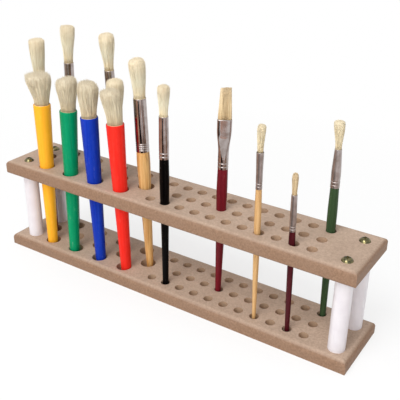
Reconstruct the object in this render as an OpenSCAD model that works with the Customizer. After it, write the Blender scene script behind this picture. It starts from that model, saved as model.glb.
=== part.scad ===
// Two-tier rack for paint and modelling brushes.
// Two rounded boards, bored with the same pattern of holes, are held apart by four round posts.
// The lower holes stop short of the underside, so each brush stands on a floor and leans in its hole.
// Units are millimetres, +Z is up, and the origin is below the middle of the rack, where it stands.

/* [Boards] */
// Length of the lower board
base_l = 473; // [300:1:600]
// How much shorter the upper board is
top_short = 3; // [0:0.5:8]
// Width of both boards
board_w = 85; // [60:1:140]
// Thickness of the lower board
board_t = 15; // [9:0.5:25]
// Thickness of the upper board
top_t = 16.5; // [9:0.5:25]
// Height of the upper board's top face
rack_h = 120; // [80:1:200]
// Radius of the lower board's upper edges
base_round = 6.5; // [2:0.5:8]
// Radius of the upper board's upper edges
top_round = 5.5; // [2:0.5:7]
// Radius of the upper board's lower edges
under_round = 2; // [0.5:0.5:7]
// How much further the upper board is set in at its left end than at its right
top_shift = 2; // [0:0.5:5]

/* [Holes] */
// Diameter of the fine-brush holes
small_d = 11.5; // [6:0.1:15]
// Diameter of the broad-brush holes
big_d = 19.4; // [15:0.1:25]
// Depth of the lower board's holes
blind_depth = 11; // [6:0.5:13]
// How much narrower the lower board's holes are than the upper board's
seat_tight = 0.7; // [0:0.1:1.5]
// Front row, measured in from the front of the boards
front_row_in = 18; // [14:0.1:30]
// Back row, measured in from the back of the boards
back_row_in = 20.6; // [14:0.1:30]
// Fine holes in the front and back rows
small_n = 11; // [4:1:14]
// Fine holes: from the last one to the right end of the lower board
fine_margin = 55; // [40:0.5:80]
// Broad holes: distance along the row
big_pitch = 39.4; // [30:0.1:50]
// Broad holes: from the left end of the lower board to the first of the front row
broad_margin = 56.9; // [45:0.1:80]
// From the last broad hole of the front row to its first fine hole
group_gap = 42.9; // [25:0.1:60]
// Broad holes in the front and back rows
big_n = 4; // [2:1:6]

/* [Posts and screws] */
// Diameter of the posts
post_d = 18.5; // [12:0.5:25]
// Left pair of posts, from the left end of the lower board
post_left_in = 25.5; // [16:0.5:35]
// Right pair of posts, from the right end of the lower board
post_right_in = 18; // [16:0.5:35]
// Screw shank diameter
shank_d = 5; // [3:0.5:8]
// Screw length below the head
shank_l = 40; // [25:1:60]
// Pan head diameter
head_d = 12.4; // [8:0.1:16]
// Pan head height
head_h = 4; // [2:0.1:6]
// Countersunk head diameter of the screws underneath
csk_d = 10.4; // [8:0.1:14]

/* [Brushes] */
// Compass direction in which the brushes lean, from the rack's length
lean_dir = 32.9; // [0:0.1:360]
// Wall of the ferrules
ferrule_wall = 0.45; // [0.2:0.05:1]
// Length of handle inside a ferrule
tenon_l = 18; // [8:1:30]
// Stub brush: width of the handle's foot
stub_foot_d = 12.4; // [8:0.1:18]
// Stub brush: width of the handle under its rim
stub_top_d = 20.8; // [16:0.1:26]
// Stub brush: length of the handle
stub_l = 196.5; // [120:0.5:240]

/* [Hidden] */
$fn = 64;

// colours
MDF = [0.66, 0.56, 0.48];
WHITE = [0.91, 0.90, 0.92];
ZINC = [0.66, 0.63, 0.42];
STEEL = [0.72, 0.66, 0.63];
BRISTLE = [0.85, 0.76, 0.56];
WORN = [0.66, 0.58, 0.46];
TIMBER = [0.83, 0.62, 0.33];
BLACK = [0.06, 0.06, 0.06];
MAROON = [0.32, 0.06, 0.09];

// clearances
fit = 0.05;      // between a tenon or a tuft's root and its ferrule
seat = 0.03;     // under a leaning foot
eps = 0.5;       // how far a cutter runs past a face

top_l = base_l - top_short;

// hole centres; the fine holes share the length that the broad ones leave
front_row_y = front_row_in - board_w / 2;
row_pitch = (board_w - front_row_in - back_row_in) / 2;
big_x = broad_margin - base_l / 2;
small_x = big_x + (big_n - 1) * big_pitch + group_gap;
small_pitch = (base_l / 2 - fine_margin - small_x) / (small_n - 1);
function row_y(r) = front_row_y + r * row_pitch;
function small_at(r, i) = [small_x + i * small_pitch, row_y(r)];
function big_at(r, i) = [big_x + (r == 1 ? i - 0.5 : i) * big_pitch, row_y(r)];
small_holes = concat([for (r = [0, 2], i = [0 : small_n - 1]) small_at(r, i)],
    [for (i = [1 : small_n - 1]) small_at(1, i)]);
big_holes = concat([for (r = [0, 2], i = [0 : big_n - 1]) big_at(r, i)],
    [for (i = [0 : big_n]) big_at(1, i)]);
posts_x = [post_left_in - base_l / 2, base_l / 2 - post_right_in];
posts_y = [row_y(0), row_y(2)];
span = rack_h - board_t;           // from the lower top face to the upper top face
under_z = rack_h - top_t;          // the upper board's underside
post_l = under_z - board_t;
pilot_d = shank_d + 2 * fit;

// ---- boards ----

// removes a quarter round of radius r along an edge of length l, at the +Y, +Z corner
module edge_cutter(l, r) {
    difference() {
        translate([-l / 2 - eps, -r, -r]) cube([l + 2 * eps, r + eps, r + eps]);
        translate([-l / 2 - 2 * eps, -r, -r]) rotate([0, 90, 0]) cylinder(r = r, h = l + 4 * eps);
    }
}

// rounds all four edges of a board's top face
module round_over(l, w, r) {
    for (a = [0, 180]) {
        rotate([0, 0, a]) translate([0, w / 2, 0]) edge_cutter(l, r);
        rotate([0, 0, a + 90]) translate([0, l / 2, 0]) edge_cutter(w, r);
    }
}

module bores(depth, tight = 0) {
    for (p = small_holes) translate([p[0], p[1], -depth]) cylinder(d = small_d - tight, h = depth + eps);
    for (p = big_holes) translate([p[0], p[1], -depth]) cylinder(d = big_d - tight, h = depth + eps);
}

module base_board() {
    color(MDF) difference() {
        translate([-base_l / 2, -board_w / 2, 0]) cube([base_l, board_w, board_t]);
        translate([0, 0, board_t]) round_over(base_l, board_w, base_round);
        translate([0, 0, board_t]) bores(blind_depth, seat_tight);
        for (x = posts_x, y = posts_y) translate([x, y, 0]) {
            translate([0, 0, -eps]) cylinder(d = pilot_d, h = board_t + 2 * eps);
            translate([0, 0, -eps]) cylinder(d = csk_d + 0.4, h = eps + 0.6);
            translate([0, 0, 0.6]) cylinder(d1 = csk_d + 0.4, d2 = pilot_d, h = (csk_d + 0.4 - pilot_d) / 2);
        }
    }
}

module top_board() {
    color(MDF) translate([top_shift / 2, 0, 0]) difference() {
        translate([-top_l / 2, -board_w / 2, under_z]) cube([top_l, board_w, top_t]);
        translate([0, 0, rack_h]) round_over(top_l, board_w, top_round);
        translate([0, 0, under_z]) rotate([180, 0, 0]) round_over(top_l, board_w, under_round);
        translate([-top_shift / 2, 0, rack_h]) bores(top_t + eps);
        for (x = posts_x, y = posts_y)
            translate([x - top_shift / 2, y, under_z - eps]) cylinder(d = pilot_d, h = top_t + 2 * eps);
    }
}

// ---- posts and screws ----

module post(x, y) {
    color(WHITE) translate([x, y, board_t]) difference() {
        cylinder(d = post_d, h = post_l);
        translate([0, 0, -eps]) cylinder(d = pilot_d, h = shank_l - board_t + 3);
        translate([0, 0, post_l + eps]) mirror([0, 0, 1]) cylinder(d = pilot_d, h = shank_l - top_t + 3);
    }
}

module cross_recess(r, depth) {
    for (a = [0, 90]) rotate([0, 0, a + 20]) translate([-r, -0.55, -depth]) cube([2 * r, 1.1, depth + eps]);
    translate([0, 0, -depth]) cylinder(r1 = 0.9, r2 = 1.5, h = depth + 0.01);
}

// pan head screw, its washer face at the origin and its shank pointing down
module cap_screw(x, y) {
    dome_r = (head_d * head_d / 4 + head_h * head_h) / (2 * head_h);
    color(ZINC) translate([x, y, rack_h]) difference() {
        union() {
            intersection() {
                translate([0, 0, head_h - dome_r]) sphere(r = dome_r);
                cylinder(d = head_d, h = head_h);
            }
            translate([0, 0, -shank_l + 4]) cylinder(d = shank_d, h = shank_l - 4);
            translate([0, 0, -shank_l]) cylinder(d1 = 0.8, d2 = shank_d, h = 4);
        }
        translate([0, 0, head_h]) cross_recess(3.1, 2.4);
    }
}

// countersunk screw, its head's flat face at the origin and its shank pointing up
module foot_screw(x, y) {
    cone_h = (csk_d - shank_d) / 2;
    color(ZINC) translate([x, y, 0.8]) difference() {
        union() {
            cylinder(d1 = csk_d, d2 = shank_d, h = cone_h);
            translate([0, 0, cone_h]) cylinder(d = shank_d, h = shank_l - 4 - cone_h);
            translate([0, 0, shank_l - 4]) cylinder(d1 = shank_d, d2 = 0.8, h = 4);
        }
        mirror([0, 0, 1]) cross_recess(2.6, 2.2);
    }
}

// ---- brushes ----

// stands a brush in a hole: low and high are how far its axis is off the hole's axis at the two top faces
module stood(hole, low, high, foot_r = 3) {
    slope = (high - low) / span;
    foot = low - slope * blind_depth;
    lift = foot_r * abs(sin(atan(slope))) + seat;
    translate([hole[0] + foot * cos(lean_dir), hole[1] + foot * sin(lean_dir), board_t - blind_depth + lift])
        rotate([0, 0, lean_dir]) rotate([0, atan(slope), 0]) children();
}

// a turned solid from a list of [height, diameter], with both ends closed
module turned(list) {
    rotate_extrude() polygon(concat([[0, list[0][0]]], [for (p = list) [p[1] / 2, p[0]]],
        [[0, list[len(list) - 1][0]]]));
}

// a rounded foot of diameter d as profile points, starting at height 0
function foot_points(d, r) = [for (a = [0 : 15 : 90]) [r * (1 - cos(a)), d - 2 * r * (1 - sin(a))]];

// the outline of the hair above its mouth at z1: swelling to the belly at z2, then a blunt dome up to z3
function hair_points(z1, mouth_d, z2, belly_d, z3, crown_d, n = 8) = concat(
    [for (i = [0 : n]) let (t = i / n, s = (1 - cos(180 * t)) / 2)
        [z1 + (z2 - z1) * t, mouth_d + (belly_d - mouth_d) * s]],
    [for (i = [1 : n]) let (a = 90 * i / n)
        [z2 + (z3 - z2) * pow(sin(a), 0.77), crown_d + (belly_d - crown_d) * pow(cos(a), 0.77)]]);

// a stub brush: a tapered plastic handle with a rounded rim, the tuft set straight into it
module stub_handle(c) {
    socket_d = stub_top_d - 3;
    color(c) difference() {
        turned(concat(foot_points(stub_foot_d, 2.5),
            [for (a = [0 : 22.5 : 90]) [stub_l - 0.9 * (1 - sin(a)), stub_top_d - 1.8 * (1 - cos(a))]]));
        translate([0, 0, stub_l - 14]) cylinder(d = socket_d, h = 14 + eps);
    }
}

// the hair of a stub brush; rise and belly_rise are measured from the rim
module stub_tuft(rise, belly_rise, belly_d, crown_d) {
    root_d = stub_top_d - 3 - 2 * fit;
    color(WORN) turned(concat([[stub_l - 14, root_d]],
        hair_points(stub_l, root_d, stub_l + belly_rise, belly_d, stub_l + rise, crown_d)));
}

// rings pressed into a ferrule: depth below the surface at each height
function ring_points(rings, d) = [for (z = rings) each
    [[z - 0.9, d], [z - 0.4, d - 0.7], [z + 0.4, d - 0.7], [z + 0.9, d]]];

// a round ferrule from z0 to z1, of width d0 below and d1 above, with rings above its foot
module round_ferrule(z0, z1, d0, d1, rings) {
    bore0 = d0 - 2 * ferrule_wall - 0.7;
    bore1 = d1 - 2 * ferrule_wall;
    color(STEEL) rotate_extrude() polygon(concat([[bore0 / 2, z0]],
        [for (p = concat([[z0, d0]], ring_points(rings, d0), [[z0 + tenon_l, d0], [z1, d1]])) [p[1] / 2, p[0]]],
        [[bore1 / 2, z1], [bore0 / 2, z0 + tenon_l]]));
}

// a turned handle that ends in a tenon inside its ferrule
module brush_handle(c, profile, z0, d0) {
    tenon_d = d0 - 2 * ferrule_wall - 0.7 - 2 * fit;
    color(c) turned(concat(foot_points(profile[0][1], profile[0][1] * 0.45), [for (i = [1 : len(profile) - 1]) profile[i]],
        [[z0, tenon_d], [z0 + tenon_l, tenon_d]]));
}

// a tuft whose root fills its ferrule above the tenon
module brush_tuft(z0, z1, d0, d1, mouth_d, belly_z, belly_d, tip, crown_d) {
    bore0 = d0 - 2 * ferrule_wall - 0.7 - 2 * fit;
    bore1 = d1 - 2 * ferrule_wall - 2 * fit;
    color(BRISTLE) turned(concat([[z0 + tenon_l, bore0], [z1, bore1]],
        hair_points(z1, min(mouth_d, bore1 - 0.1), belly_z, belly_d, tip, crown_d)));
}

// stub brushes: hole, lean at the lower and the upper board
module yellow_place() { stood(big_at(0, 0), -1.2, -0.2) children(); }
module green_place() { stood(big_at(0, 1), -2, 0.8) children(); }
module blue_place() { stood(big_at(0, 2), 1.6, -0.75) children(); }
module red_place() { stood(big_at(0, 3), 2.6, -0.8) children(); }

module yellow_handle() { yellow_place() stub_handle([1, 0.71, 0.2]); }
module yellow_tuft() { yellow_place() stub_tuft(34.2, 33, 29, 25); }
module green_handle() { green_place() stub_handle([0.02, 0.58, 0.37]); }
module green_tuft() { green_place() stub_tuft(37.5, 31.5, 24.4, 12); }
module blue_handle() { blue_place() stub_handle([0.07, 0.2, 0.7]); }
module blue_tuft() { blue_place() stub_tuft(39.5, 30.5, 24, 10); }
module red_handle() { red_place() stub_handle([0.96, 0.22, 0.17]); }
module red_tuft() { red_place() stub_tuft(37.3, 32.5, 22, 11); }

// long brushes: [hole, lean low, lean high, foot radius], handle profile, ferrule [z0, z1, d0, d1, rings],
// tuft [mouth, belly height, belly, tip height, crown]
WOOD = [[big_at(1, big_n), 2.1, -1.6, 2],
    [[0, 7.4], [22, 9.2], [52, 10.8], [92, 12.8], [126, 14.6], [146, 15.6], [161, 14.9]],
    [161, 224, 15.3, 14.6, [164.3, 166.7, 169.3, 171.7]], [13.2, 260.5, 18.4, 268, 8]];
BLACKB = [[small_at(0, 1), 0.25, 0, 2],
    [[0, 6.6], [16, 7.2], [41, 7.7], [81, 8.7], [116, 10.1], [143, 11], [158, 10.8], [169.8, 10.4]],
    [169.8, 218.1, 11, 10.4, [173.3, 177.3]], [9, 247, 13, 251.3, 6]];
FLAT = [[small_at(1, 4), -0.98, -0.1, 2],
    [[0, 6.4], [20, 7], [53, 8.3], [90, 10], [116, 11.1], [136, 11.9], [150, 11.7], [165.1, 11.1]],
    [165.1, 220, 11.6, 11.6, [168.6, 172.6]]];
PALE = [[small_at(0, small_n - 4), -0.2, -1.87, 1],
    [[0, 3.8], [20, 4.4], [50, 5.4], [80, 6.3], [130, 7.1], [152, 6.9], [166, 6.4]],
    [166, 205.5, 6.8, 7.7, [169.5, 172.5]], [6, 230, 9.5, 233.8, 5]];
SHORT = [[small_at(0, small_n - 2), 0.3, -2.2, 1.3],
    [[0, 4.5], [22, 5.3], [60, 6.1], [100, 6.6], [117, 7], [130.4, 6.3]],
    [130.4, 170.6, 6.7, 6, [133.5, 136.5]], [4.9, 187, 6.1, 193.2, 1.8]];
OLIVE = [[small_at(2, small_n - 1), 1, -0.55, 1.8],
    [[0, 6], [22, 7.1], [50, 7.6], [90, 9], [122, 10], [140, 10.2], [156, 9.5], [166.3, 9]],
    [166.3, 207.6, 9.7, 7.2, [170, 173.5]], [6.2, 233, 11.2, 235.3, 8.5]];
HIND_A = [[big_at(1, 0), 0.3, -1.1, 2],
    [[0, 7], [52, 10], [92, 11.6], [126, 13.2], [146, 13.8], [162, 13.2]],
    [162, 216, 13.7, 14.2, [165, 167.4, 170, 172.4]], [12.8, 262, 18.9, 264.9, 15]];
HIND_B = [[big_at(2, 0), -1, 1, 2],
    [[0, 6.6], [52, 8.8], [92, 10.4], [126, 12], [146, 12.6], [166, 12]],
    [166, 237.2, 12.5, 12, [169, 171.4, 174, 176.4]], [10.8, 277.5, 17.4, 280, 13]];
HIND_C = [[big_at(2, 2), 2, -2.5, 2],
    [[0, 6.6], [52, 8.8], [92, 10.4], [126, 12], [146, 12.6], [166, 12]],
    [166, 240.4, 12.5, 11.8, [169, 171.4, 174, 176.4]], [10.6, 276.5, 18.1, 283, 4]];
HIND_D = [[big_at(1, 3), 0.3, -1.1, 2],
    [[0, 7], [52, 10], [92, 11.8], [116, 13.4], [126, 13.6], [138, 13]],
    [138, 189.5, 13.8, 14.6, [141, 143.4, 146, 148.4]], [13.3, 230, 20.3, 237.3, 8]];

module place(b) { stood(b[0][0], b[0][1], b[0][2], b[0][3]) children(); }
module long_handle(b, c) { place(b) brush_handle(c, b[1], b[2][0], b[2][2]); }
module long_ferrule(b) { place(b) round_ferrule(b[2][0], b[2][1], b[2][2], b[2][3], b[2][4]); }
module long_tuft(b) { place(b) brush_tuft(b[2][0], b[2][1], b[2][2], b[2][3], b[3][0], b[3][1], b[3][2], b[3][3], b[3][4]); }

module wood_handle() { long_handle(WOOD, TIMBER); }
module wood_ferrule() { long_ferrule(WOOD); }
module wood_tuft() { long_tuft(WOOD); }
module black_handle() { long_handle(BLACKB, BLACK); }
module black_ferrule() { long_ferrule(BLACKB); }
module black_tuft() { long_tuft(BLACKB); }
module pale_handle() { long_handle(PALE, TIMBER); }
module pale_ferrule() { long_ferrule(PALE); }
module pale_tuft() { long_tuft(PALE); }
module short_handle() { long_handle(SHORT, MAROON); }
module short_ferrule() { long_ferrule(SHORT); }
module short_tuft() { long_tuft(SHORT); }
module olive_handle() { long_handle(OLIVE, [0.16, 0.27, 0.15]); }
module olive_ferrule() { long_ferrule(OLIVE); }
module olive_tuft() { long_tuft(OLIVE); }
module hind_a_handle() { long_handle(HIND_A, MAROON); }
module hind_a_ferrule() { long_ferrule(HIND_A); }
module hind_a_tuft() { long_tuft(HIND_A); }
module hind_b_handle() { long_handle(HIND_B, BLACK); }
module hind_b_ferrule() { long_ferrule(HIND_B); }
module hind_b_tuft() { long_tuft(HIND_B); }
module hind_c_handle() { long_handle(HIND_C, BLACK); }
module hind_c_ferrule() { long_ferrule(HIND_C); }
module hind_c_tuft() { long_tuft(HIND_C); }
module hind_d_handle() { long_handle(HIND_D, TIMBER); }
module hind_d_ferrule() { long_ferrule(HIND_D); }
module hind_d_tuft() { long_tuft(HIND_D); }

// the flat brush: its ferrule is round below and pressed flat above
flat_w = 15.6;
flat_t = 5.6;
press_z = 188;
flat_tip = 254.9;
sides = 40;

// points of a round-ended slot of width w and thickness t at height z; a circle where w equals t
function slot_ring(z, w, t) = [for (i = [0 : sides - 1]) let (a = (i + 0.5) * 360 / sides)
    [sign(cos(a)) * (w - t) / 2 + t / 2 * cos(a), t / 2 * sin(a), z]];

// skins a list of [height, width, thickness] rings; a ring list that returns to its start makes a tube
module skinned(rings, tube = false) {
    n = len(rings);
    polyhedron(points = [for (r = rings) each slot_ring(r[0], r[1], r[2])],
        faces = concat([for (k = [0 : n - (tube ? 1 : 2)], i = [0 : sides - 1])
            let (j = (i + 1) % sides, u = k * sides, v = ((k + 1) % n) * sides)
            each [[u + i, v + i, v + j], [u + i, v + j, u + j]]],
            tube ? [] : [[for (i = [0 : sides - 1]) i], [for (i = [sides - 1 : -1 : 0]) (n - 1) * sides + i]]));
}

module flat_handle() { long_handle(FLAT, MAROON); }

module flat_ferrule() {
    z0 = FLAT[2][0]; z1 = FLAT[2][1]; d = FLAT[2][2];
    bore = d - 2 * ferrule_wall - 0.7;
    color(STEEL) place(FLAT) skinned(concat([[z0, d, d]],
        [for (p = ring_points(FLAT[2][4], d)) [p[0], p[1], p[1]]],
        [[press_z - 4, d, d], [press_z + 8, 13, 9.4], [z1 - 12, flat_w - 0.4, flat_t + 0.5], [z1, flat_w, flat_t],
         [z1, flat_w - 1.1, flat_t - 1.1], [z1 - 12, flat_w - 1.5, flat_t - 0.6], [press_z + 8, 11.8, 8.2],
         [press_z - 4, bore, bore], [z0, bore, bore]]), tube = true);
}

module flat_tuft() {
    z0 = FLAT[2][0]; z1 = FLAT[2][1]; d = FLAT[2][2];
    bore = d - 2 * ferrule_wall - 0.7;
    color(BRISTLE) place(FLAT) skinned([[z0 + tenon_l, bore - 0.1, bore - 0.1], [press_z - 4, bore - 0.1, bore - 0.1],
        [press_z + 8, 11.7, 8.1], [z1 - 12, flat_w - 1.6, flat_t - 0.7], [z1, flat_w - 1.2, flat_t - 1.2],
        [z1 + 12, 13.6, 4.6], [z1 + 26, 12.4, 3.4], [flat_tip, 10.9, 2]]);
}

base_board();
top_board();
post(posts_x[0], posts_y[0]);  // post_front_left
post(posts_x[1], posts_y[0]);  // post_front_right
post(posts_x[0], posts_y[1]);  // post_back_left
post(posts_x[1], posts_y[1]);  // post_back_right
cap_screw(posts_x[0], posts_y[0]);  // cap_screw_front_left
cap_screw(posts_x[1], posts_y[0]);  // cap_screw_front_right
cap_screw(posts_x[0], posts_y[1]);  // cap_screw_back_left
cap_screw(posts_x[1], posts_y[1]);  // cap_screw_back_right
foot_screw(posts_x[0], posts_y[0]);  // foot_screw_front_left
foot_screw(posts_x[1], posts_y[0]);  // foot_screw_front_right
foot_screw(posts_x[0], posts_y[1]);  // foot_screw_back_left
foot_screw(posts_x[1], posts_y[1]);  // foot_screw_back_right
yellow_handle();
yellow_tuft();
green_handle();
green_tuft();
blue_handle();
blue_tuft();
red_handle();
red_tuft();
wood_handle();
wood_ferrule();
wood_tuft();
black_handle();
black_ferrule();
black_tuft();
flat_handle();
flat_ferrule();
flat_tuft();
pale_handle();
pale_ferrule();
pale_tuft();
short_handle();
short_ferrule();
short_tuft();
olive_handle();
olive_ferrule();
olive_tuft();
hind_a_handle();
hind_a_ferrule();
hind_a_tuft();
hind_b_handle();
hind_b_ferrule();
hind_b_tuft();
hind_c_handle();
hind_c_ferrule();
hind_c_tuft();
hind_d_handle();
hind_d_ferrule();
hind_d_tuft();
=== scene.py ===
import math
from collections import namedtuple

import bpy
import numpy as np
from mathutils import Matrix


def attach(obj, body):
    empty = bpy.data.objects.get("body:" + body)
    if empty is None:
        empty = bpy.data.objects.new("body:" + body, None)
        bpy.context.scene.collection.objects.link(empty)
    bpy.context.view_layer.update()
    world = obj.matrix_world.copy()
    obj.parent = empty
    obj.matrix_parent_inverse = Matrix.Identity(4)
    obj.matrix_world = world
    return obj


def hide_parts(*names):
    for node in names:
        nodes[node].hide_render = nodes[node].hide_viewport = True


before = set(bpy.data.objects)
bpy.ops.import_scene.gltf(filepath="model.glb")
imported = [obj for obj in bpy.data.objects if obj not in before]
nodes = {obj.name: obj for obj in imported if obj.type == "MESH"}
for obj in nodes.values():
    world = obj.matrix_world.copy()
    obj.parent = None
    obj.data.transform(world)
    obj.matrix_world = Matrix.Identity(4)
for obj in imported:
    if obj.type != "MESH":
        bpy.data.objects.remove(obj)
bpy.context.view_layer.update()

scene = bpy.context.scene
MM = 0.001


def link(name, data):
    """A new object with this data, in the scene."""
    made = bpy.data.objects.new(name, data)
    scene.collection.objects.link(made)
    return made


# ---------------------------------------------------------------- camera

CAMERA_PLACE = (0.40309, -0.57254, 0.45828)  # metres
CAMERA_AZIMUTH, CAMERA_DOWN, CAMERA_ROLL = 32.905, 26.212, 0.885  # degrees
CAMERA_LENS, CAMERA_SENSOR = 61.0, 36.0  # mm


def axes_matrix(right, up, back, place):
    """The matrix of a camera or a lamp: its place and its three axes. It looks along minus back."""
    m = np.eye(4)
    m[:3] = np.c_[right, up, back, place]
    return Matrix(m.tolist())


def aim(place, azimuth, down, roll):
    """The camera's matrix: forward points azimuth degrees left of +Y and down degrees below level, and roll
    turns the picture about forward."""
    az, dn, ro = (math.radians(v) for v in (azimuth, down, roll))
    forward = np.array([-math.sin(az) * math.cos(dn), math.cos(az) * math.cos(dn), -math.sin(dn)])
    level = np.array([math.cos(az), math.sin(az), 0.0])
    upright = np.cross(level, forward)
    right = math.cos(ro) * level + math.sin(ro) * upright
    return axes_matrix(right, np.cross(right, forward), -forward, place)


camera_data = bpy.data.cameras.new("camera")
camera_data.sensor_width = CAMERA_SENSOR
camera_data.lens = CAMERA_LENS
camera_data.clip_start, camera_data.clip_end = 0.02, 30.0
camera = link("camera", camera_data)
camera.matrix_world = aim(CAMERA_PLACE, CAMERA_AZIMUTH, CAMERA_DOWN, CAMERA_ROLL)
scene.camera = camera

# ---------------------------------------------------------------- where the brushes stand, in mm

BOARD_T, RACK_H = 15.0, 120.0  # lower board's thickness, and the upper board's upper face
SOCKET = 11.0  # depth of the lower board's holes
SPAN = RACK_H - BOARD_T  # between the two boards' upper faces
ROW_Y, ROW_STEP = -24.5, 23.2  # front row of holes, and from row to row
FINE_X, FINE_STEP = -18.5, 20.0  # narrow holes: first one, and from one to the next
BROAD_X, BROAD_STEP = -179.6, 39.4  # wide holes; the middle row is half a step further left
LEAN = math.radians(32.9)  # direction in which the brushes lean, to the right of the camera's view
FOOT_GAP = 0.03  # left under a foot


def row_y(row):
    return ROW_Y + ROW_STEP * row


def fine(row, i):
    return FINE_X + FINE_STEP * i, row_y(row)


def broad(row, i):
    return BROAD_X + BROAD_STEP * (i - 0.5 if row == 1 else i), row_y(row)


def stood(hole, low, high, foot):
    """Place of a brush whose axis is low and high off its hole's axis at the lower and the upper board. It
    leans by the angle whose tangent is (high - low) / SPAN, and foot times that angle's sine lifts its
    rounded foot onto the floor of the lower hole."""
    slope = (high - low) / SPAN
    angle = math.atan(slope)
    off = low - slope * SOCKET
    lift = foot * abs(math.sin(angle)) + FOOT_GAP
    x, y = hole[0] + off * math.cos(LEAN), hole[1] + off * math.sin(LEAN)
    at = Matrix.Translation((x, y, BOARD_T - SOCKET + lift))
    return np.array(at @ Matrix.Rotation(LEAN, 4, "Z") @ Matrix.Rotation(angle, 4, "Y"))


# ---------------------------------------------------------------- the brushes' sizes, in mm

# Heights are above the brush's own foot. lean carries a tuft's tip that far along the direction LEAN, tilt
# slopes its top that way, and oval is the share that its tip is squeezed at right angles to it.
Tuft = namedtuple("Tuft", "mouth_d belly_z belly_d tip_z crown_d lean tilt oval", defaults=(0, 0, 0))
# How many they are, how thick, how far they wander, and how unevenly they end.
Bristles = namedtuple("Bristles", "count thick stray rag")
# lobes are swellings of the tuft: (angle in degrees, share of the width, spread in degrees).
Stub = namedtuple("Stub", "place tuft bristles lobes")
# foot, mouth and rings are heights; the rings are pressed into the tube.
Ferrule = namedtuple("Ferrule", "foot mouth foot_d mouth_d rings")
# grip is the handle's finish, slot is its material slot, and outline has its (height, width) points.
Brush = namedtuple("Brush", "place grip slot outline ferrule tuft")

STUB_L, STUB_FOOT, STUB_TOP = 196.5, 12.4, 20.8  # length, width at the foot and at the rim
STUB_FOOT_R = 2.5
RIM_R, RIM_IN = 1.8, 1.5  # height of the rim's rounding, and what it takes off each side
STUB_SOCKET, STUB_SOCKET_D = 14, STUB_TOP - 3.0
STUB_TUFT_D = STUB_SOCKET_D - 0.4
FOOT_ROUND = 0.45  # radius of a long handle's foot, as a share of its width there
TENON = 18.0  # length of a handle inside its ferrule
WALL = 0.45  # a ferrule's tube
RING_ROOM = 0.7  # how much narrower a ferrule is inside, so that its pressed rings leave a wall
TENON_ROOM = 0.8  # how much narrower than a plain tube's inside a tenon is
HAIR_ROOM = 0.1  # and a tuft

STUBS = {
    "yellow": Stub(stood(broad(0, 0), -1.2, -0.2, 3), Tuft(STUB_TUFT_D, 228.4, 29, 234.0, 6, lean=-2.4),
                   Bristles(1700, 0.42, 0.8, 1.2), ((180, 0.08, 40),)),
    "green": Stub(stood(broad(0, 1), -2.0, 0.8, 3),
                  Tuft(STUB_TUFT_D, 228, 24.4, 235.4, 6, lean=-1.0, tilt=0.16),
                  Bristles(1600, 0.42, 0.6, 0.8), ((180, 0.06, 45),)),
    "blue": Stub(stood(broad(0, 2), 1.6, -0.75, 3),
                 Tuft(STUB_TUFT_D, 227, 24, 237.8, 5, lean=1.6, tilt=-0.12),
                 Bristles(1600, 0.42, 0.6, 0.8), ()),
    "red": Stub(stood(broad(0, 3), 2.6, -0.8, 3), Tuft(STUB_TUFT_D, 228.6, 22, 235.4, 5, lean=-3.4),
                Bristles(1600, 0.42, 0.6, 0.8), ((180, 0.10, 40),)),
}

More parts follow.
